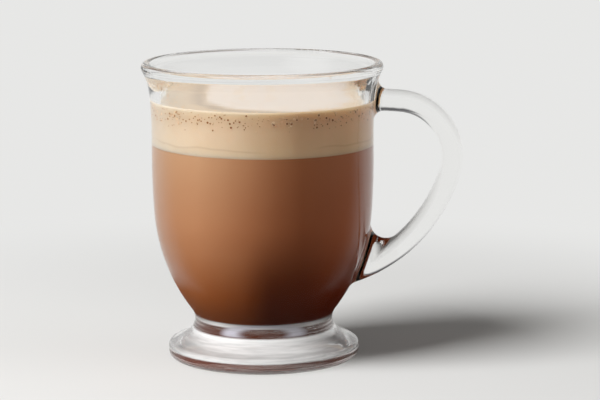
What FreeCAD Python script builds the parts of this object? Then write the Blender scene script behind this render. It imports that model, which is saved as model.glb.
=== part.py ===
"""Caffe mocha in a footed glass mug: glass mug with its handle, chocolate drink and milk foam.

Millimetres, +Z up, origin at the centre of the foot's underside, handle towards +X.
"""
import FreeCAD
import Part
import Sketcher
import math
import os

# Driving dimensions: alias, value in mm, meaning.
DIMENSIONS = [
    ("foot_radius", 40.1, "widest radius of the foot"),
    ("foot_round", 2.8, "rounding of the foot's lower edge"),
    ("foot_side_top", 4.75, "height where the foot's side starts to round over"),
    ("foot_top_radius", 38.55, "outer radius of the foot's upper face"),
    ("foot_top_height", 6.7, "height of the foot's upper face at its edge"),
    ("stem_low_radius", 30.3, "radius below the waist"),
    ("stem_low_height", 12.13, "height below the waist"),
    ("stem_high_radius", 30.34, "radius above the waist"),
    ("stem_high_height", 20.55, "height above the waist"),
    ("shoulder_radius", 45.64, "radius where the bowl becomes upright"),
    ("shoulder_height", 62.06, "height where the bowl becomes upright"),
    ("body_radius", 46.27, "radius of the upright body"),
    ("body_height", 91.73, "height on the upright body"),
    ("flare_radius", 47.06, "radius where the rim starts to flare"),
    ("flare_height", 111.69, "height where the rim starts to flare"),
    ("throat_radius", 48.0, "outer radius half way up the flare"),
    ("throat_height", 116.2, "height half way up the flare"),
    ("lip_radius", 49.45, "outer radius where the flare meets the rim's bead"),
    ("lip_height", 119.7, "height where the flare meets the rim's bead"),
    ("bead_radius", 50.25, "outer radius of the rim's bead"),
    ("bead_height", 121.9, "height of the bead's outer side"),
    ("mug_height", 124.3, "height of the rim's crest"),
    ("rim_inner_radius", 47.85, "inner edge of the rim's narrow flat crest"),
    ("shoulder_wall", 4.6, "glass thickness at the shoulder"),
    ("body_wall", 4.27, "glass thickness of the upright body"),
    ("flare_wall", 4.36, "glass thickness where the rim starts to flare"),
    ("floor_radius", 16.4, "flat middle of the cavity's floor"),
    ("floor_height", 15.85, "height of the cavity's floor"),
    ("cavity_turn_radius", 23.15, "radius where the floor has turned into the wall"),
    ("cavity_turn_height", 18.95, "height where the floor has turned into the wall"),
    ("neck_radius", 46.1, "inner radius where the wall is thinnest, below the bead"),
    ("neck_height", 120.2, "inner height where the wall is thinnest"),
    ("mouth_radius", 46.55, "inner radius of the rim's bead"),
    ("mouth_height", 122.2, "height of the bead's inner side"),
    ("mouth_clearance", 6.0, "how far the cavity tool stands above the rim"),
    ("mocha_level", 89.7, "level of the chocolate drink"),
    ("foam_level", 108.5, "level of the milk foam"),
    ("handle_start_radius", 41.0, "handle path, inside the upper root"),
    ("handle_start_height", 108.25, "handle path, inside the upper root"),
    ("handle_top_radius", 57.09, "handle path, end of the upper arm"),
    ("handle_top_height", 107.51, "handle path, end of the upper arm"),
    ("handle_side_radius", 77.79, "handle path, end of the grip's bend"),
    ("handle_side_height", 76.19, "handle path, end of the grip's bend"),
    ("handle_low_radius", 67.0, "handle path, start of the lower arm"),
    ("handle_low_height", 56.18, "handle path, start of the lower arm"),
    ("handle_end_radius", 35.0, "handle path, inside the lower root"),
    ("handle_end_height", 34.55, "handle path, inside the lower root"),
    ("handle_depth", 9.2, "handle thickness in the plane of its loop"),
    ("handle_width", 12.0, "handle thickness across its loop"),
    ("upper_root_round", 4.0, "fillet of the handle's upper root"),
    ("lower_root_round", 6.5, "fillet of the handle's lower root"),
]

doc = FreeCAD.newDocument("caffe_mocha")
sheet = doc.addObject("Spreadsheet::Sheet", "dims")
for row, (alias, value, meaning) in enumerate(DIMENSIONS, start=1):
    sheet.set("A%d" % row, meaning)
    sheet.set("B%d" % row, str(value))
    sheet.setAlias("B%d" % row, alias)
doc.recompute()
SIZE = {alias: value for alias, value, meaning in DIMENSIONS}


def knot(radius_alias, height_alias, inset=None):
    """A profile point as its two expressions and their present values."""
    radius, height = "dims." + radius_alias, "dims." + height_alias
    value = SIZE[radius_alias]
    if inset:
        radius += " - dims." + inset
        value -= SIZE[inset]
    return radius, height, FreeCAD.Vector(value, SIZE[height_alias], 0)


def origin_plane(body, role):
    return next(item for item in body.Origin.OriginFeatures if item.Role == role)


def origin_sketch(body, name, role):
    sketch = body.newObject("Sketcher::SketchObject", name)
    sketch.AttachmentSupport = [(origin_plane(body, role), "")]
    sketch.MapMode = "FlatFace"
    return sketch


def add(sketch, *constraint):
    return sketch.addConstraint(Sketcher.Constraint(*constraint))


def pin(sketch, index, end, radius_expression, height_expression, point):
    """Hold one end of a curve at a radius and a height taken from the sheet."""
    for kind, value, expression in (("DistanceX", point.x, radius_expression),
                                    ("DistanceY", point.y, height_expression)):
        number = add(sketch, kind, -1, 1, index, end, value)
        sketch.setExpression("Constraints[%d]" % number, expression)


def tangent_arc(start, end, heading):
    """Arc leaving start along heading and reaching end, its end numbers and its last heading."""
    chord = end - start
    turn = 2 * (math.atan2(chord.y, chord.x) - heading)
    turn = math.atan2(math.sin(turn), math.cos(turn))
    radius = chord.Length / (2 * math.sin(abs(turn) / 2))
    side = math.copysign(math.pi / 2, turn)
    toward = FreeCAD.Vector(math.cos(heading + side), math.sin(heading + side), 0)
    centre = start + toward * radius
    first, last = (start, end) if turn > 0 else (end, start)
    low = math.atan2(first.y - centre.y, first.x - centre.x)
    high = math.atan2(last.y - centre.y, last.x - centre.x)
    circle = Part.Circle(centre, FreeCAD.Vector(0, 0, 1), radius)
    ends = (1, 2) if turn > 0 else (2, 1)
    return Part.ArcOfCircle(circle, low, high), ends, heading + turn


def arc_chain(sketch, knots, heading, pin_last=True):
    """Tangent arcs through the knots; returns the first and the last (curve, end) of the chain."""
    before = None
    for start, end in zip(knots, knots[1:]):
        arc, (near, far), heading = tangent_arc(start[2], end[2], heading)
        index = sketch.addGeometry(arc)
        if before is None:
            opening = (index, near)
            pin(sketch, index, near, *start)
        else:
            add(sketch, "Tangent", before[0], before[1], index, near)
        if pin_last or end is not knots[-1]:
            pin(sketch, index, far, *end)
        before = (index, far)
    return opening, before


def line(sketch, start, end):
    return sketch.addGeometry(Part.LineSegment(start, end))


def revolve(body, sketch, name):
    turned = body.newObject("PartDesign::Revolution", name)
    turned.Profile = sketch
    turned.ReferenceAxis = (sketch, ["V_Axis"])
    turned.Angle = 360
    return turned


def mug_profile(body):
    """Half section of the mug's outside, closed along the axis."""
    sketch = origin_sketch(body, "mug_profile", "YZ_Plane")
    foot, edge, top = SIZE["foot_radius"], SIZE["foot_round"], SIZE["mug_height"]
    centre, side_low = FreeCAD.Vector(foot - edge, edge, 0), FreeCAD.Vector(foot, edge, 0)
    side_top = knot("foot_radius", "foot_side_top")
    base = line(sketch, FreeCAD.Vector(), FreeCAD.Vector(foot - edge, 0, 0))
    corner = sketch.addGeometry(Part.ArcOfCircle(
        Part.Circle(centre, FreeCAD.Vector(0, 0, 1), edge), -math.pi / 2, 0))
    side = line(sketch, side_low, side_top[2])
    crest = FreeCAD.Vector((SIZE["bead_radius"] + SIZE["mouth_radius"]) / 2, top, 0)
    first, last = arc_chain(sketch, [
        side_top,
        knot("foot_top_radius", "foot_top_height"),
        knot("stem_low_radius", "stem_low_height"),
        knot("stem_high_radius", "stem_high_height"),
        knot("shoulder_radius", "shoulder_height"),
        knot("body_radius", "body_height"),
        knot("flare_radius", "flare_height"),
        knot("throat_radius", "throat_height"),
        knot("lip_radius", "lip_height"),
        knot("bead_radius", "bead_height"),
        ("", "", crest),
    ], math.pi / 2, pin_last=False)
    lid = line(sketch, crest, FreeCAD.Vector(0, top, 0))
    axis = line(sketch, FreeCAD.Vector(0, top, 0), FreeCAD.Vector())
    add(sketch, "Coincident", base, 1, -1, 1)
    add(sketch, "Horizontal", base)
    add(sketch, "Tangent", base, 2, corner, 1)
    add(sketch, "Tangent", corner, 2, side, 1)
    add(sketch, "Vertical", side)
    number = add(sketch, "Radius", corner, edge)
    sketch.setExpression("Constraints[%d]" % number, "dims.foot_round")
    add(sketch, "Tangent", side, 2, *first)
    add(sketch, "Tangent", *last, lid, 1)
    add(sketch, "Horizontal", lid)
    add(sketch, "Coincident", lid, 2, axis, 1)
    add(sketch, "Coincident", axis, 2, base, 1)
    add(sketch, "Vertical", axis)
    number = add(sketch, "DistanceY", -1, 1, lid, 2, top)
    sketch.setExpression("Constraints[%d]" % number, "dims.mug_height")
    return sketch


def cavity_profile(body):
    """Half section of the space inside the glass, standing a little above the rim."""
    sketch = origin_sketch(body, "cavity_profile", "YZ_Plane")
    floor = knot("floor_radius", "floor_height")
    rim = knot("rim_inner_radius", "mug_height")
    rise = SIZE["mug_height"] + SIZE["mouth_clearance"]
    first, last = arc_chain(sketch, [
        floor,
        knot("cavity_turn_radius", "cavity_turn_height"),
        knot("shoulder_radius", "shoulder_height", "shoulder_wall"),
        knot("body_radius", "body_height", "body_wall"),
        knot("flare_radius", "flare_height", "flare_wall"),
        knot("neck_radius", "neck_height"),
        knot("mouth_radius", "mouth_height"),
        rim,
    ], 0.0)
    spread = FreeCAD.Vector(rim[2].x + 2 * SIZE["mouth_clearance"], rise, 0)
    base = line(sketch, FreeCAD.Vector(0, floor[2].y, 0), floor[2])
    funnel = line(sketch, rim[2], spread)
    lid = line(sketch, spread, FreeCAD.Vector(0, rise, 0))
    axis = line(sketch, FreeCAD.Vector(0, rise, 0), FreeCAD.Vector(0, floor[2].y, 0))
    add(sketch, "Tangent", base, 2, *first)
    add(sketch, "Horizontal", base)
    add(sketch, "PointOnObject", base, 1, -2)
    add(sketch, "Tangent", *last, funnel, 1)
    add(sketch, "Coincident", funnel, 2, lid, 1)
    add(sketch, "Horizontal", lid)
    add(sketch, "Coincident", lid, 2, axis, 1)
    add(sketch, "Coincident", axis, 2, base, 1)
    add(sketch, "Vertical", axis)
    number = add(sketch, "DistanceY", -1, 1, lid, 2, rise)
    sketch.setExpression("Constraints[%d]" % number, "dims.mug_height + dims.mouth_clearance")
    return sketch


def handle_path(body):
    """Centre line of the handle's loop, in the plane of the loop."""
    sketch = origin_sketch(body, "handle_path", "XZ_Plane")
    first, last = arc_chain(sketch, [
        knot("handle_start_radius", "handle_start_height"),
        knot("handle_top_radius", "handle_top_height"),
        knot("handle_side_radius", "handle_side_height"),
        knot("handle_low_radius", "handle_low_height"),
        knot("handle_end_radius", "handle_end_height"),
    ], math.radians(-1.0))
    number = add(sketch, "Radius", first[0], sketch.Geometry[first[0]].Radius)
    sketch.setDriving(number, True)
    return sketch


def handle_section(body):
    """Oval section of the handle, upright at the start of its path."""
    sketch = origin_sketch(body, "handle_section", "YZ_Plane")
    sketch.setExpression("AttachmentOffset.Base.z", "dims.handle_start_radius")
    centre = FreeCAD.Vector(0, SIZE["handle_start_height"], 0)
    wide, deep = SIZE["handle_width"] / 2, SIZE["handle_depth"] / 2
    oval = sketch.addGeometry(Part.Ellipse(
        centre + FreeCAD.Vector(wide, 0, 0), centre + FreeCAD.Vector(0, deep, 0), centre))
    sketch.exposeInternalGeometry(oval)
    add(sketch, "PointOnObject", oval, 3, -2)
    add(sketch, "Horizontal", oval + 1)
    for kind, index, start, end, value, expression in (
            ("DistanceY", -1, 1, 3, centre.y, "dims.handle_start_height"),
            ("DistanceX", None, 1, 2, 2 * wide, "dims.handle_width"),
            ("DistanceY", None, 1, 2, 2 * deep, "dims.handle_depth")):
        if index == -1:
            number = add(sketch, kind, -1, start, oval, end, value)
        else:
            axis = oval + 1 if kind == "DistanceX" else oval + 2
            low, high = sorted((start, end), key=lambda e: getattr(
                sketch.getPoint(axis, e), "x" if kind == "DistanceX" else "y"))
            number = add(sketch, kind, axis, low, axis, high, value)
        sketch.setExpression("Constraints[%d]" % number, expression)
    return sketch


def root_edges(shape, low, high):
    """Names of the edges where the handle meets the bowl between two heights."""
    return ["Edge%d" % number for number, edge in enumerate(shape.Edges, start=1)
            if isinstance(edge.Curve, Part.BSplineCurve)
            and low < edge.CenterOfMass.z < high]


def round_root(body, name, expression, low, high):
    doc.recompute()
    base = body.Tip
    fillet = body.newObject("PartDesign::Fillet", name)
    fillet.Base = (base, root_edges(base.Shape, low, high))
    fillet.setExpression("Radius", expression)
    body.Tip = fillet


def make_mug_blank():
    """The mug's outside as one solid: foot, bowl and handle with rounded roots."""
    body = doc.addObject("PartDesign::Body", "mug_blank")
    revolve(body, mug_profile(body), "bowl_and_foot")
    path, section = handle_path(body), handle_section(body)
    pipe = body.newObject("PartDesign::AdditivePipe", "handle")
    pipe.Profile = section
    pipe.Spine = path
    body.Tip = pipe
    middle = SIZE["handle_side_height"]
    round_root(body, "upper_root", "dims.upper_root_round", middle, SIZE["mug_height"])
    round_root(body, "lower_root", "dims.lower_root_round", 0, middle)
    return body


def make_cavity():
    """The space inside the glass as one solid, open above the rim."""
    body = doc.addObject("PartDesign::Body", "cavity")
    revolve(body, cavity_profile(body), "cavity_turned")
    return body


def make_layer(name, cavity, floor, level):
    """What fills the cavity between two levels."""
    slab = doc.addObject("Part::Cylinder", name + "_slab")
    slab.setExpression("Radius", "dims.lip_radius")
    slab.setExpression("Height", level + " - " + floor)
    slab.setExpression("Placement.Base.z", floor)
    layer = doc.addObject("Part::Common", name)
    layer.Base = cavity
    layer.Tool = slab
    return layer


def make_glass(blank, cavity):
    """The glass mug: its outside less the cavity."""
    glass = doc.addObject("Part::Cut", "glass_mug")
    glass.Base = blank
    glass.Tool = cavity
    return glass


blank, cavity = make_mug_blank(), make_cavity()
parts = [
    make_glass(blank, cavity),
    make_layer("mocha", cavity, "0", "dims.mocha_level"),
    make_layer("foam", cavity, "dims.mocha_level", "dims.foam_level"),
]
doc.recompute()

broken = [item.Name for item in doc.Objects
          if "Invalid" in item.State or "Error" in item.State]
if broken:
    raise RuntimeError("failed: " + ", ".join(broken))
for part in parts:
    if part.Shape.isNull() or not part.Shape.isValid() or len(part.Shape.Solids) != 1:
        raise RuntimeError(part.Label + " is not one valid solid")
if parts[0].Shape.Volume >= blank.Shape.Volume:
    raise RuntimeError("the cavity removed nothing")

os.makedirs("parts", exist_ok=True)
for part in parts:
    part.Shape.exportStep("parts/%s.step" % part.Label)
    print(part.Label, "%.1f cm3" % (part.Shape.Volume / 1000))
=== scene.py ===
"""Looks of the caffe mocha: clear pressed glass, chocolate drink and milk foam in studio light.

Shapes are in metres. Inside the materials, positions and heights are in millimetres, and the
scale of a noise is per metre. The camera looks along +Y, and the handle is on the +X side.
"""
import math
import random
import bpy
import numpy as np
from mathutils import Matrix, Vector, noise


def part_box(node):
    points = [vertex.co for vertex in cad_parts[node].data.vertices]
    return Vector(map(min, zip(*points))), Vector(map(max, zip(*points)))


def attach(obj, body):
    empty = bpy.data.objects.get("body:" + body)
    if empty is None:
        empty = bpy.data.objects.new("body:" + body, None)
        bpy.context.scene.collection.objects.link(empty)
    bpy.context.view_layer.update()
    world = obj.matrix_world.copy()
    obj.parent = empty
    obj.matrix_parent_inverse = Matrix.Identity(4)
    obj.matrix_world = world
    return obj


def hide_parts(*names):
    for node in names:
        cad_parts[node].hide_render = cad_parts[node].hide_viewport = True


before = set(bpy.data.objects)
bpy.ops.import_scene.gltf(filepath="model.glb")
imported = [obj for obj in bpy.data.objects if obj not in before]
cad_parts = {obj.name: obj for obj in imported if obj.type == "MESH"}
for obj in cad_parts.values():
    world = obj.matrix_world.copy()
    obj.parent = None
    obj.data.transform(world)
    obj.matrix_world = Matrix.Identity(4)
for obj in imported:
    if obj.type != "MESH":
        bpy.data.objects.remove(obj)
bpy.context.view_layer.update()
MM = 0.001
TAU = 2 * math.pi
SEED = 11

SEGMENTS = 256                                  # round the drink and the foam
DRINK_FLOOR_RINGS, DRINK_SIDE_RINGS = 14, 70
FOAM_SIDE_RINGS, FOAM_TOP_RINGS = 29, 84
FLOOR_ROUND = 4 * MM                            # height over which the drink's floor turns upwards
INTO_WALL = 0.25 * MM                           # how far drink and foam reach into the glass
CRISP_EDGE = 0.02 * MM                          # an extra ring this near an end keeps its edge crisp
LEVEL_SLOPE = math.tan(math.radians(0.35))      # the levels fall towards the handle

KEY = (-61, 43)                                 # turn and rise of the main lamp, in degrees
FILL = (80, 15)
BACKDROP = (0.80, 0.80, 0.79)


# ---------------------------------------------------------------- mesh helpers
def new_object(name, verts, faces, smooth=True, attributes=None):
    """A mesh object; attributes maps a name to one number per vertex."""
    mesh = bpy.data.meshes.new(name)
    mesh.from_pydata([tuple(v) for v in verts], [], faces)
    mesh.update()
    mesh.polygons.foreach_set("use_smooth", [smooth] * len(mesh.polygons))
    for key, values in (attributes or {}).items():
        mesh.attributes.new(key, "FLOAT", "POINT").data.foreach_set("value", values)
    obj = bpy.data.objects.new(name, mesh)
    bpy.context.scene.collection.objects.link(obj)
    return obj


def ring_faces(first, second, count):
    """Quads between two rings of count vertices that start at the indices first and second."""
    faces = []
    for i in range(count):
        j = (i + 1) % count
        faces.append((first + i, first + j, second + j, second + i))
    return faces


def lathe(rows, segments):
    """Vertices and faces of rings at (radius, height), closed on the axis at both ends."""
    verts, faces = [], []
    for radius, height in rows:
        for i in range(segments):
            a = TAU * i / segments
            verts.append((radius * math.cos(a), radius * math.sin(a), height))
    for k in range(len(rows) - 1):
        faces += ring_faces(k * segments, (k + 1) * segments, segments)
    last = (len(rows) - 1) * segments
    low_tip = len(verts)
    high_tip = low_tip + 1
    verts += [(0, 0, rows[0][1]), (0, 0, rows[-1][1])]
    faces += [(low_tip, (i + 1) % segments, i) for i in range(segments)]
    faces += [(high_tip, last + i, last + (i + 1) % segments) for i in range(segments)]
    return verts, faces


def side_radius(node):
    """The radius of a round CAD node as a function of height, read from its mesh."""
    places = np.array([v.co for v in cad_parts[node].data.vertices], float)
    radius, height = np.hypot(places[:, 0], places[:, 1]), places[:, 2]
    levels = np.unique(np.round(height, 5))
    same_level = 0.02 * MM
    widest = np.array([radius[np.abs(height - z) < same_level].max() for z in levels])
    return lambda z: float(np.interp(z, levels, widest))


def smooth_step(low, high, value):
    """0 at low and before, 1 at high and beyond, with a soft start and end."""
    t = min(max((value - low) / (high - low), 0.0), 1.0)
    return t * t * (3 - 2 * t)


def bell(value, width):
    """1 at zero, falling off on both sides within about the width."""
    return math.exp(-(value / width) ** 2)


# ------------------------------------------------------------ material helpers
class Look:
    """The nodes of a material or world; an input that is a socket is linked, any other is set."""

    def __init__(self, owner):
        owner.use_nodes = True
        self.owner = owner
        self.tree = owner.node_tree
        self.tree.nodes.clear()

    def feed(self, socket, value):
        """Link or set one input; a colour is given as three numbers."""
        if isinstance(value, bpy.types.NodeSocket):
            self.tree.links.new(value, socket)
        elif socket.type == "RGBA":
            socket.default_value = (*value, 1)
        else:
            socket.default_value = value

    def add(self, kind, inputs=None, **settings):
        """A new node; inputs maps a socket's name or index to its value."""
        node = self.tree.nodes.new("ShaderNode" + kind)
        for key, value in settings.items():
            setattr(node, key, value)
        for key, value in (inputs or {}).items():
            self.feed(node.inputs[key], value)
        return node

    def shader(self, kind, inputs):
        """The output of a shader node, or of a mix of two shaders."""
        return self.add(kind, inputs).outputs[0]

    def math(self, operation, *values):
        return self.add("Math", dict(enumerate(values)), operation=operation).outputs[0]

    def product(self, first, *others):
        for other in others:
            first = self.math("MULTIPLY", first, other)
        return first

    def invert(self, value):
        return self.math("SUBTRACT", 1.0, value)

    def mix(self, factor, first, second, blend="MIX"):
        inputs = {0: factor, 6: first, 7: second}
        return self.add("Mix", inputs, data_type="RGBA", blend_type=blend).outputs[2]

    def tint(self, factor, color, tone):
        """The colour multiplied by the tone, as far as the factor says."""
        return self.mix(factor, color, tone, "MULTIPLY")

    def span(self, value, low, high, smooth=True, at_low=0.0, at_high=1.0):
        """at_low where the value is at low or before, at_high where it is at high or beyond."""
        inputs = {"Value": value, "From Min": low, "From Max": high, "To Min": at_low, "To Max": at_high}
        kind = "SMOOTHSTEP" if smooth else "LINEAR"
        return self.add("MapRange", inputs, interpolation_type=kind).outputs[0]

    def band(self, value, start, full, fade, end):
        """0 up to start, 1 from full to fade, and 0 again from end."""
        return self.product(self.span(value, start, full), self.span(value, end, fade))

    def stops(self, value, stops):
        """Colours, or greys given as one number, at set places of the value, blended between."""
        first, last = stops[0][0], stops[-1][0]
        along = self.span(value, first, last, smooth=False)
        node = self.add("ValToRGB", {"Fac": along})
        elements = node.color_ramp.elements
        for place, tone in stops:
            share = (place - first) / (last - first)
            ends = {0.0: 0, 1.0: len(elements) - 1}
            element = elements[ends[share]] if share in ends else elements.new(share)
            element.color = (*tone, 1) if isinstance(tone, tuple) else (tone, tone, tone, 1)
        return node.outputs[0]

    def place(self, scale=(1, 1, 1)):
        """The position on the object in metres, stretched by the scale."""
        where = self.add("TexCoord").outputs["Object"]
        return self.add("VectorMath", {0: where, 1: scale}, operation="MULTIPLY").outputs[0]

    def axes(self):
        """The position on the object in millimetres: x, y and z."""
        return self.add("SeparateXYZ", {"Vector": self.place((1000, 1000, 1000))}).outputs

    def axis_distance(self):
        """The distance from the mug's axis in millimetres."""
        x, y, _ = self.axes()
        return self.math("SQRT", self.math("ADD", self.product(x, x), self.product(y, y)))

    def noise(self, scale, detail, stretch=(1, 1, 1), distortion=0.0):
        inputs = {"Vector": self.place(stretch), "Scale": scale, "Detail": detail, "Distortion": distortion}
        return self.add("TexNoise", inputs).outputs[0]

    def attribute(self, name):
        return self.add("Attribute", attribute_name=name).outputs["Fac"]

    def rays(self):
        return self.add("LightPath").outputs

    def bump(self, height, strength, distance):
        return self.add("Bump", {"Height": height, "Strength": strength, "Distance": distance}).outputs[0]

    def surface(self, shader):
        """Close the material with its surface and give it back."""
        self.add("OutputMaterial", {"Surface": shader})
        return self.owner


def new_look(name):
    """The empty nodes of a new material."""
    return Look(bpy.data.materials.new(name))


# ----------------------------------------------------------------------- glass
GLASS_TINT = (0.985, 0.985, 0.98)
GLASS_IOR = 1.5

# Painted light and refraction on the thick glass of the foot, by height in mm: painted images of the drink
# (the brown strip and the dark waist) and painted light (the pale edge, the whitish face and the pale
# line); tones, and how far they hide the clear glass.
PAINTED_DRINK_STRIP = ((0.5, (0.20, 0.060, 0.034)), (4.3, (0.17, 0.045, 0.025)))
PAINTED_LIT_FACE = ((4.8, (0.94, 0.93, 0.92)), (11.8, (0.92, 0.91, 0.90)), (12.4, 0.95))
PAINTED_DARK_WAIST = ((13.2, (0.08, 0.018, 0.006)), (16.6, (0.09, 0.022, 0.008)))
PAINTED_LIGHT_LINE = ((17.2, (0.96, 0.95, 0.94)), (20.0, (0.96, 0.95, 0.94)))
FOOT_PAINTED_BANDS = ((0.0, 0.80), (0.24, 0.80), *PAINTED_DRINK_STRIP, *PAINTED_LIT_FACE, *PAINTED_DARK_WAIST, *PAINTED_LIGHT_LINE)
FOOT_PAINTED_COVER = (
    (0.0, 0.0), (0.2, 0.3), (0.6, 0.85), (4.3, 0.80), (4.8, 0.70), (12.0, 0.85),
    (13.2, 1.0), (16.6, 1.0), (17.2, 0.85), (18.2, 0.75), (19.0, 0.0), (20.0, 0.0))


def painted_foot_bands(look, z, facing):
    """The painted bands of the foot, with two bluish painted highlights on the waist, left and right of its
    middle.
    """
    lights = look.product(look.band(facing, 0.03, 0.10, 0.13, 0.24), look.span(z, 12.8, 14.0), 0.8)
    return look.mix(lights, look.stops(z, FOOT_PAINTED_BANDS), (0.70, 0.69, 0.78))


def painted_foot_cover(look, z, facing):
    """How far the painted bands show: streaked, weaker edge on or mirrored, and not on the cavity's floor.
    """
    streaks = look.noise(1.0, 2.0, stretch=(90, 90, 1400))
    return look.product(
        look.stops(z, FOOT_PAINTED_COVER),
        look.span(streaks, 0.35, 0.65, False, 0.80, 1.0),
        look.span(facing, 0.35, 0.85, False, 1.0, 0.25),
        look.invert(look.product(look.rays()["Is Glossy Ray"], 0.8)),
        look.span(look.axis_distance(), 27.5, 29.0))


def painted_rim_line(look, z):
    """A thin painted dark reflection along the rim's crest, uneven along its way."""
    crest = look.band(z, 123.3, 123.7, 124.0, 124.2)
    return look.product(crest, look.span(look.noise(22, 1.0), 0.30, 0.60))


def calm_zone(look, z, facing):
    """Where the glass shows what is behind it without a reflection: low on the bowl and straight on."""
    low_bowl = look.band(z, 17, 20, 30, 40)
    straight_on = look.span(facing, 0.62, 0.35)
    outside = look.invert(look.add("NewGeometry").outputs["Backfacing"])
    below_rim = look.span(z, 112.5, 108.5)
    return look.product(look.math("MAXIMUM", low_bowl, straight_on), outside, below_rim, 0.92)


def clear_glass():
    """Clear pressed glass with the faint waviness of a moulded wall, painted bands of light and refraction
    on the foot and a painted dark reflection along the rim.
    """
    look = new_look("clear_glass")
    z = look.axes()[2]
    facing = look.add("LayerWeight", {"Blend": 0.5}).outputs["Facing"]
    polish = {"Roughness": 0.0, "IOR": GLASS_IOR, "Normal": look.bump(look.noise(38, 1.0), 0.25, 0.4 * MM)}
    full = look.shader("BsdfPrincipled", {"Base Color": GLASS_TINT, "Transmission Weight": 1.0, **polish})
    calm = look.shader("BsdfRefraction", {"Color": GLASS_TINT, **polish})
    glass = look.shader("MixShader", {0: calm_zone(look, z, facing), 1: full, 2: calm})
    # A painted dark reflection along the rim's crest.
    line = painted_rim_line(look, z)
    # The foot's painted bands of light and refraction and the rim's painted dark reflection, laid over the
    # clear glass.
    tone = look.mix(line, painted_foot_bands(look, z, facing), (0.16, 0.12, 0.10))
    painted_share = look.math("MAXIMUM", painted_foot_cover(look, z, facing), look.product(line, 0.75))
    painted_glass = look.shader("BsdfPrincipled", {"Base Color": tone, "Roughness": 0.08})
    glass = look.shader("MixShader", {0: painted_share, 1: glass, 2: painted_glass})
    rays = look.rays()
    soft_light = look.math("MAXIMUM", rays["Is Shadow Ray"], rays["Is Diffuse Ray"])
    clear = look.shader("BsdfTransparent", {"Color": (0.94, 0.94, 0.935)})
    return look.surface(look.shader("MixShader", {0: soft_light, 1: glass, 2: clear}))


def dress_glass():
    """The mug shows its CAD mesh, in clear glass."""
    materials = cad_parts["glass_mug"].data.materials
    materials.clear()
    materials.append(clear_glass())


# ------------------------------------------------------------ drink and foam
# Colours by height, and painted shade by side away from the lamp, in mm: x runs from the lamp's side to the
# handle's. The drink's colours by height are partly its own colour, deeper towards the foot, and partly
# painted shade and light of the bowl's lower part.
DRINK_TONE_AND_SHADE_BY_HEIGHT = (
    (16.0, (0.30, 0.085, 0.026)), (23.0, (0.38, 0.105, 0.030)), (31.8, (0.47, 0.138, 0.036)),
    (49.3, (0.55, 0.232, 0.104)), (70.3, (0.57, 0.278, 0.141)), (87.8, (0.61, 0.333, 0.180)),
    (90.0, (0.61, 0.339, 0.186)))
# Painted shade on the drink's side away from the lamp, darkest right of the middle.
DRINK_SHADE_BY_SIDE = (
    (-45.0, 1.0), (-25.2, 1.0), (-15.3, (0.94, 0.88, 0.84)), (-5.4, (0.86, 0.72, 0.64)),
    (5.4, (0.71, 0.51, 0.41)), (15.3, (0.65, 0.41, 0.30)), (24.3, (0.80, 0.51, 0.41)),
    (32.4, (0.87, 0.56, 0.48)), (45.0, (0.84, 0.50, 0.41)))
FOAM_BY_HEIGHT = (
    (89.0, (0.77, 0.580, 0.41)), (91.4, (0.83, 0.645, 0.46)), (100.0, (0.82, 0.635, 0.45)),
    (106.0, (0.77, 0.590, 0.41)), (109.0, (0.76, 0.600, 0.44)))
# Painted shade on the foam's side, away from the lamp.
FOAM_SHADE_BY_SIDE = (
    (-45.0, 1.0), (-25.2, 1.0), (-15.3, (1.0, 0.98, 0.96)), (-5.4, (0.98, 0.93, 0.87)),
    (5.4, (0.90, 0.79, 0.67)), (15.3, (0.86, 0.71, 0.59)), (24.3, (0.98, 0.83, 0.70)),
    (45.0, (1.0, 0.84, 0.71)))

MILK_MIDDLE = (7 * MM, 1 * MM)
MILK_REACH = (31 * MM, 39 * MM)                 # half width and half depth of the milk patch
MILK_EDGE = (0.78, 1.12)                        # shares of that reach between which the milk fades
MILK_RISE = 0.45 * MM
MILK_RIPPLES = ((70, 3.1, 0.12), (210, 7.7, 0.04))    # waves per metre, layer of the noise, size
CONTOUR_AT, CONTOUR_WIDTH = 1.05, 0.11          # shares of the milk's reach
CONTOUR_DEPTH = 0.15 * MM
CONTOUR_TURN = math.radians(45)                 # the contour lies opposite this way, at the front left
STREAK_BACK, STREAK_SLANT = 25 * MM, 0.25       # how far behind the axis, and its slope against X
STREAK_WIDTH, STREAK_LENGTH = 1.5 * MM, 5.5 * MM
STREAK_DEPTH = 0.12 * MM
CLIMB_RISE, CLIMB_WIDTH = 0.35 * MM, 1.6 * MM   # the foam climbs the glass at its edge
LUMP_WAVES, LUMP_LAYER, LUMP_RISE = 120, 1.7, 0.07 * MM


def drink_look():
    """Milky chocolate, paler under the foam and darker towards the foot, partly painted shade there;
    painted shade away from the light and along the edge nearest the lamp.
    """
    look = new_look("mocha_drink")
    x, _, z = look.axes()
    # Own colour by height, with painted shade and light low in the bowl.
    body = look.stops(z, DRINK_TONE_AND_SHADE_BY_HEIGHT)
    clouds = look.span(look.noise(70, 3.0), 0.35, 0.7)
    body = look.tint(look.product(clouds, 0.16), body, (0.90, 0.80, 0.74))
    specks = look.span(look.noise(1500, 1.0), 0.66, 0.74)
    body = look.mix(look.product(specks, 0.18), body, (0.16, 0.07, 0.03))
    # Painted shade by side, away from the lamp.
    body = look.tint(1.0, body, look.stops(x, DRINK_SHADE_BY_SIDE))
    # Painted shade low down on the handle's side.
    painted_low_shade = look.product(look.span(z, 62, 26), look.span(x, -10, 4))
    body = look.tint(painted_low_shade, body, (0.42, 0.26, 0.13))
    # Painted shade along the edge nearest the lamp.
    key_edge_shade = look.span(x, -24, -46)
    body = look.tint(key_edge_shade, body, (0.82, 0.85, 0.88))
    return look.surface(look.shader("BsdfPrincipled", {
        "Base Color": body, "Roughness": 0.45, "Specular IOR Level": 0.12}))


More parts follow.
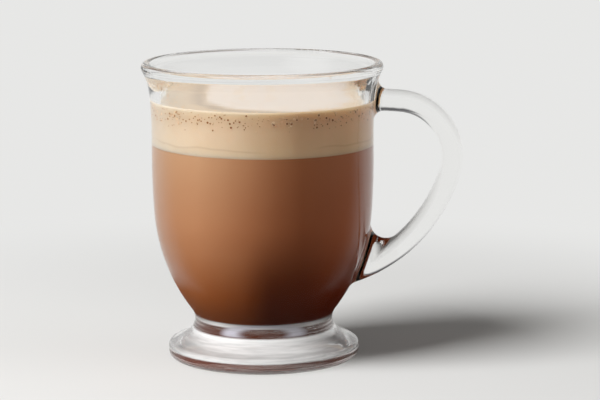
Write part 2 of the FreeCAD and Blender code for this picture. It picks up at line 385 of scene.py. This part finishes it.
def foam_wavy_line(look, z):
    """A broken line a few millimetres above the drink."""
    height = look.math("ADD", look.product(look.noise(55, 1.0), 4.0), 91.2)
    off_line = look.math("ABSOLUTE", look.math("SUBTRACT", z, height))
    line = look.invert(look.span(off_line, 0.0, 0.7))
    return look.product(line, look.span(look.noise(22, 0.0), 0.42, 0.55), 0.30)


def foam_pores(look, z):
    """Fine pores near the foam's top."""
    froth = look.add("TexVoronoi", {"Vector": look.place(), "Scale": 900.0}).outputs["Distance"]
    pores = look.invert(look.span(froth, 0.10, 0.30))
    clusters = look.span(look.noise(120, 2.0), 0.48, 0.62)
    return look.product(pores, look.span(z, 99.5, 103.5), clusters, 0.5)


def with_milk(look, body):
    """The foam's colour with the white milk patch, its tan veins and its grey contour on it."""
    milk = look.attribute("milk")
    ragged = look.product(look.math("SUBTRACT", look.noise(260, 3.0), 0.5), 0.25)
    patch = look.span(look.math("ADD", milk, ragged), 0.25, 0.8)
    body = look.mix(look.product(patch, 0.95), body, (0.77, 0.67, 0.585))
    veins = look.span(look.noise(45, 3.0, distortion=2.2), 0.52, 0.66)
    body = look.mix(look.product(veins, milk, 0.45), body, (0.76, 0.62, 0.48))
    return look.mix(look.product(look.attribute("shade"), 0.62), body, (0.40, 0.32, 0.26))


def foam_look():
    """Beige foam with a pale foot, a wavy line, pores near its top and a white milk patch, and painted
    shade on its side away from the lamp and along the edge nearest the lamp.
    """
    look = new_look("milk_foam")
    x, _, z = look.axes()
    body = look.stops(z, FOAM_BY_HEIGHT)
    # Painted shade along the edge nearest the lamp.
    key_edge_shade = look.span(x, -20, -46)
    body = look.tint(key_edge_shade, body, (0.86, 0.91, 0.97))
    clouds = look.span(look.noise(90, 3.0), 0.3, 0.75)
    body = look.tint(look.product(clouds, 0.25), body, (0.86, 0.80, 0.72))
    body = look.tint(foam_wavy_line(look, z), body, (0.70, 0.60, 0.52))
    body = look.mix(foam_pores(look, z), body, (0.52, 0.36, 0.23))
    # Painted shade by side on the foam's side, away from the lamp.
    side = look.invert(look.attribute("top"))
    body = look.tint(side, body, look.stops(x, FOAM_SHADE_BY_SIDE))
    body = with_milk(look, body)
    grain = look.bump(look.noise(2200, 2.0), 0.35, 0.12 * MM)
    return look.surface(look.shader("BsdfPrincipled", {
        "Base Color": body, "Roughness": 0.75, "Specular IOR Level": 0.2, "Normal": grain,
        "Subsurface Weight": 0.6, "Subsurface Radius": (1.0, 0.88, 0.75), "Subsurface Scale": 10 * MM}))


def fall(x, z, level):
    """How much lower the drink lies at x; the fall fades out 30 mm below its level."""
    return LEVEL_SLOPE * x * smooth_step(level - 30 * MM, level, z)


def make_mocha():
    """The drink: the CAD piece's outline in fine rings, just into the glass, with a sloping level."""
    low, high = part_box("mocha")
    radius = side_radius("mocha")
    floor_heights = np.linspace(low.z, low.z + FLOOR_ROUND, DRINK_FLOOR_RINGS)
    side_heights = np.linspace(low.z + FLOOR_ROUND + 1 * MM, high.z, DRINK_SIDE_RINGS)
    heights = sorted([*floor_heights, *side_heights, high.z - CRISP_EDGE])
    near_floor = low.z + 0.5 * MM
    rows = [(radius(z) + INTO_WALL, z - INTO_WALL if z < near_floor else z) for z in heights]
    verts, faces = lathe(rows, SEGMENTS)
    obj = new_object("mocha_drink", [(x, y, z - fall(x, z, high.z)) for x, y, z in verts], faces)
    obj.data.materials.append(drink_look())
    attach(obj, "root")
    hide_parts("mocha")


def milk_field(x, y):
    """How far a point of the foam's top lies out of the milk patch, 1 on its edge, and which way."""
    u, v = (x - MILK_MIDDLE[0]) / MILK_REACH[0], (y - MILK_MIDDLE[1]) / MILK_REACH[1]
    ripple = sum(size * noise.noise(Vector((x * waves, y * waves, layer)))
                 for waves, layer, size in MILK_RIPPLES)
    return math.hypot(u, v) + ripple, math.atan2(v, u)


def foam_top(x, y, edge):
    """Height above the level, milk and shade of the foam's top at a point."""
    reach, turn = milk_field(x, y)
    milk = 1 - smooth_step(*MILK_EDGE, reach)
    front_left = smooth_step(0.15, 0.75, -math.cos(turn - CONTOUR_TURN))
    contour = bell(reach - CONTOUR_AT, CONTOUR_WIDTH) * front_left
    streak = bell(y - STREAK_BACK - STREAK_SLANT * x, STREAK_WIDTH) * bell(x, STREAK_LENGTH)
    climb = smooth_step(edge - CLIMB_WIDTH, edge, math.hypot(x, y))
    lump = noise.noise(Vector((x * LUMP_WAVES, y * LUMP_WAVES, LUMP_LAYER)))
    height = (MILK_RISE * milk - CONTOUR_DEPTH * contour - STREAK_DEPTH * streak
              + CLIMB_RISE * climb + LUMP_RISE * lump)
    return height, milk, min(contour + 0.6 * streak, 1.0)


def make_foam():
    """The foam's side as rings, its top as finer rings that shrink to the axis."""
    low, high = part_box("foam")
    radius = side_radius("foam")
    even_heights = np.linspace(low.z, high.z, FOAM_SIDE_RINGS)
    side_heights = [low.z, low.z + CRISP_EDGE, *even_heights[1:]]
    rows = [(radius(z) + INTO_WALL, z) for z in side_heights]
    edge = rows[-1][0]
    rows += [(edge * (1 - k / FOAM_TOP_RINGS), high.z) for k in range(1, FOAM_TOP_RINGS)]
    verts, faces = lathe(rows, SEGMENTS)
    side_count = len(side_heights) * SEGMENTS
    milk, shade, top, placed = [], [], [], []
    for index, (x, y, z) in enumerate(verts):
        raised = z > high.z - 0.5 * CRISP_EDGE
        on_top = float(raised and index >= side_count)
        rise, white, dark = foam_top(x, y, edge) if raised else (0.0, 0.0, 0.0)
        milk.append(white * on_top)
        shade.append(dark * on_top)
        top.append(on_top)
        placed.append((x, y, z - LEVEL_SLOPE * x + rise))
    obj = new_object("milk_foam", placed, faces, attributes={"milk": milk, "shade": shade, "top": top})
    obj.data.materials.append(foam_look())
    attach(obj, "root")
    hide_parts("foam")


# --------------------------------------------------------------- foam bubbles
# Larger bubbles against the glass: angle from +X in degrees, height in mm, radius in mm.
LARGE_BUBBLES = (
    (-125, 104.9, 0.36), (-117, 100.9, 0.34), (-102, 104.9, 0.45), (-100, 103.5, 0.30),
    (-77, 104.2, 0.48), (-66, 105.8, 0.36), (-62, 101.8, 0.26), (-44, 101.8, 0.30),
    (-40, 102.7, 0.34), (-60, 103.3, 0.22), (-90, 105.4, 0.20), (-110, 105.5, 0.22))
SIDE_BUBBLES, SIDE_LEAST, SIDE_MORE = 560, 0.20 * MM, 0.36 * MM     # count, least radius, extra
TOP_BUBBLES, TOP_LEAST, TOP_MORE = 190, 0.14 * MM, 0.40 * MM
SIDE_ZONE_TOP, SIDE_ZONE_DEPTH = 0.5 * MM, 8.6 * MM                 # down from the foam's level
TOP_ZONE_WIDTH, TOP_ZONE_GAP = 0.16, 0.7 * MM   # share of the radius, and gap to the glass
BUBBLE_SPOKES = 12
# From the skirt inwards, in shares of the radius: reach, rise and darkness, which is painted shade in the
# hollow.
BUBBLE_PROFILE = ((1.25, 0.02, 0.0), (1.0, 0.16, 0.30), (0.82, 0.10, 0.9), (0.35, 0.04, 1.0))
BUBBLE_MIDDLE_RISE = 0.03


def bubble_look():
    """A thin bright rim round a hollow darkened by painted shade."""
    look = new_look("foam_bubbles")
    # Painted shade in the bubble's hollow.
    core = look.span(look.attribute("core"), 0.30, 0.62)
    color = look.mix(core, (0.92, 0.68, 0.44), (0.26, 0.075, 0.018))
    color = look.mix(look.product(look.noise(800, 1.0), 0.2), color, (0.50, 0.33, 0.19))
    return look.surface(look.shader("BsdfPrincipled", {
        "Base Color": color, "Roughness": 0.6, "Specular IOR Level": 0.1}))


class Bubbles:
    """Ring-shaped swellings with a sunk middle, gathered into one mesh."""

    def __init__(self):
        self.verts, self.faces, self.core = [], [], []

    def add(self, centre, out, size, darkness):
        """One bubble that faces along out; darkness scales the painted shade of its middle."""
        side = Vector((0, 0, 1)).cross(out)
        side = side.normalized() if side.length > 0.1 else Vector((1, 0, 0))
        up = out.cross(side)
        base = len(self.verts)
        for reach, rise, dark in BUBBLE_PROFILE:
            for i in range(BUBBLE_SPOKES):
                a = TAU * i / BUBBLE_SPOKES
                spoke = side * math.cos(a) + up * math.sin(a)
                self.verts.append(centre + spoke * reach * size + out * rise * size)
                self.core.append(dark * darkness)
        self.verts.append(centre + out * BUBBLE_MIDDLE_RISE * size)
        self.core.append(darkness)
        rings = [base + k * BUBBLE_SPOKES for k in range(len(BUBBLE_PROFILE))]
        for outer, inner in zip(rings, rings[1:]):
            self.faces += ring_faces(outer, inner, BUBBLE_SPOKES)
        last, middle = rings[-1], len(self.verts) - 1
        self.faces += [(last + i, last + (i + 1) % BUBBLE_SPOKES, middle) for i in range(BUBBLE_SPOKES)]


def side_spots(draw, level):
    """Angle, height, radius and darkness, the painted shade of the hollow, of the bubbles on the foam's
    side: the larger ones first.
    """
    spots = [(math.radians(a), z * MM, r * MM, 1.0) for a, z, r in LARGE_BUBBLES]
    for _ in range(SIDE_BUBBLES):
        angle = draw.uniform(0, TAU)
        depth = draw.betavariate(2.0, 3.2) * SIDE_ZONE_DEPTH
        size = SIDE_LEAST + SIDE_MORE * draw.random() ** 3
        spots.append((angle, level - SIDE_ZONE_TOP - depth, size, draw.uniform(0.34, 0.90)))
    return spots


def add_side_bubbles(bubbles, draw, radius, level):
    """Bubbles on the foam's side, facing out through the glass."""
    for angle, z, size, darkness in side_spots(draw, level):
        out = Vector((math.cos(angle), math.sin(angle), 0))
        wall = radius(z) + INTO_WALL
        centre = Vector((out.x * wall, out.y * wall, z - LEVEL_SLOPE * out.x * wall))
        bubbles.add(centre, out, size, darkness)


def add_top_bubbles(bubbles, draw, edge, level):
    """Bubbles on the foam's top, crowded near the glass."""
    for _ in range(TOP_BUBBLES):
        angle = draw.uniform(0, TAU)
        reach = edge * (1 - TOP_ZONE_WIDTH * draw.random() ** 1.6) - TOP_ZONE_GAP
        size = TOP_LEAST + TOP_MORE * draw.random() ** 3
        x, y = reach * math.cos(angle), reach * math.sin(angle)
        z = level - LEVEL_SLOPE * x + foam_top(x, y, edge)[0]
        bubbles.add(Vector((x, y, z)), Vector((0, 0, 1)), size, 0.5)


def make_bubbles():
    """All bubbles as one mesh, the ones on the side first."""
    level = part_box("foam")[1].z
    radius = side_radius("foam")
    draw = random.Random(SEED)
    bubbles = Bubbles()
    add_side_bubbles(bubbles, draw, radius, level)
    add_top_bubbles(bubbles, draw, radius(level) + INTO_WALL, level)
    obj = new_object("foam_bubbles", bubbles.verts, bubbles.faces, attributes={"core": bubbles.core})
    obj.data.materials.append(bubble_look())
    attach(obj, "root")


# ------------------------------------------------------- floor, light, camera
FLOOR_HALF = 8.0
FLOOR_DROP = 0.4 * MM                           # keeps the floor clear of the foot's underside
AIM = Vector((0, 0, 70 * MM))                   # what the lamps point at

# The camera that was fitted to the photo's outline: place in metres, angles in degrees, and the
# sensor and the lens in millimetres.
CAMERA_PLACE = (0.00233, -1.0299, 0.2439)
CAMERA_YAW, CAMERA_PITCH, CAMERA_ROLL = 0.730, 9.811, 0.218
SENSOR_WIDTH = 36.0
LENS = 149.838


def floor_look():
    """Pale floor that keeps the mug's shadow and runs out into an even backdrop."""
    look = new_look("floor")
    grain = look.span(look.noise(900, 2.0), 0.2, 0.8)
    color = look.mix(look.product(grain, 0.04), (0.73, 0.73, 0.72), (0.64, 0.64, 0.63))
    near = look.shader("BsdfDiffuse", {"Color": color})
    far = look.shader("Emission", {"Color": BACKDROP, "Strength": 1.0})
    away = look.span(look.axis_distance(), 130, 340)
    seen = look.shader("MixShader", {0: away, 1: near, 2: far})
    dim = look.shader("BsdfDiffuse", {"Color": (0.14, 0.135, 0.13)})
    return look.surface(look.shader("MixShader", {0: look.rays()["Is Diffuse Ray"], 1: seen, 2: dim}))


def make_floor():
    """A large square floor just under the foot."""
    signs = ((-1, -1), (1, -1), (1, 1), (-1, 1))
    corners = [(x * FLOOR_HALF, y * FLOOR_HALF, -FLOOR_DROP) for x, y in signs]
    obj = new_object("floor", corners, [(0, 1, 2, 3)], smooth=False)
    obj.data.materials.append(floor_look())


def way_to(turn, rise):
    """The way to a lamp: turn in degrees from the front, positive towards +X, and rise in degrees."""
    turn, rise = math.radians(turn), math.radians(rise)
    return Vector((math.sin(turn) * math.cos(rise), -math.cos(turn) * math.cos(rise), math.sin(rise)))


def make_world():
    """Pale surroundings with a dim ceiling, and a soft white patch that stands in for the key lamp.

    The camera sees the even backdrop, and matt surfaces get a faint light instead.
    """
    world = bpy.data.worlds.new("studio")
    bpy.context.scene.world = world
    look = Look(world)
    direction = look.add("TexCoord").outputs["Generated"]
    height = look.add("SeparateXYZ", {"Vector": direction}).outputs[2]
    studio = look.stops(height, (
        (-0.1, BACKDROP), (0.285, BACKDROP), (0.417, (0.11, 0.11, 0.115)), (1.0, (0.04, 0.04, 0.043))))
    closeness = look.add("VectorMath", {0: direction, 1: way_to(*KEY)}, operation="DOT_PRODUCT")
    patch = look.span(closeness.outputs["Value"], 0.86, 0.99)
    studio = look.mix(patch, studio, (1.0, 1.0, 1.0))
    rays = look.rays()
    color = look.mix(rays["Is Camera Ray"], studio, BACKDROP)
    color = look.mix(rays["Is Diffuse Ray"], color, (0.09, 0.087, 0.083))
    back = look.shader("Background", {"Color": color, "Strength": 1.0})
    look.add("OutputWorld", {"Surface": back})


def make_lamp(name, direction, distance, size, power):
    """A square lamp aimed at the mug, which the glass neither mirrors nor lets through to view."""
    way = way_to(*direction)
    data = bpy.data.lights.new(name, "AREA")
    data.size = size
    data.energy = power
    obj = bpy.data.objects.new(name, data)
    bpy.context.scene.collection.objects.link(obj)
    obj.location = AIM + way * distance
    obj.rotation_euler = way.to_track_quat("Z", "Y").to_euler()
    obj.visible_glossy = False
    obj.visible_transmission = False


def make_camera():
    """A camera along +Y, turned by its yaw towards +X, tipped down by its pitch, then rolled."""
    yaw, pitch, roll = (math.radians(a) for a in (CAMERA_YAW, CAMERA_PITCH, CAMERA_ROLL))
    ahead = Vector((math.sin(yaw), math.cos(yaw), 0))
    level_right = Vector((math.cos(yaw), -math.sin(yaw), 0))
    forward = ahead * math.cos(pitch) + Vector((0, 0, -math.sin(pitch)))
    level_up = ahead * math.sin(pitch) + Vector((0, 0, math.cos(pitch)))
    right = level_right * math.cos(roll) - level_up * math.sin(roll)
    up = level_right * math.sin(roll) + level_up * math.cos(roll)
    data = bpy.data.cameras.new("camera")
    data.sensor_fit = "HORIZONTAL"
    data.sensor_width = SENSOR_WIDTH
    data.lens = LENS
    data.clip_end = 50
    obj = bpy.data.objects.new("camera", data)
    bpy.context.scene.collection.objects.link(obj)
    turned = Matrix((right, up, -forward)).transposed().to_4x4()
    obj.matrix_world = Matrix.Translation(CAMERA_PLACE) @ turned
    bpy.context.scene.camera = obj


dress_glass()
make_mocha()
make_foam()
make_bubbles()
make_floor()
make_world()
make_lamp("key", KEY, distance=1.9, size=0.95, power=51)
make_lamp("fill", FILL, distance=1.9, size=1.2, power=8)
make_camera()
bpy.context.scene.view_settings.view_transform = "Standard"
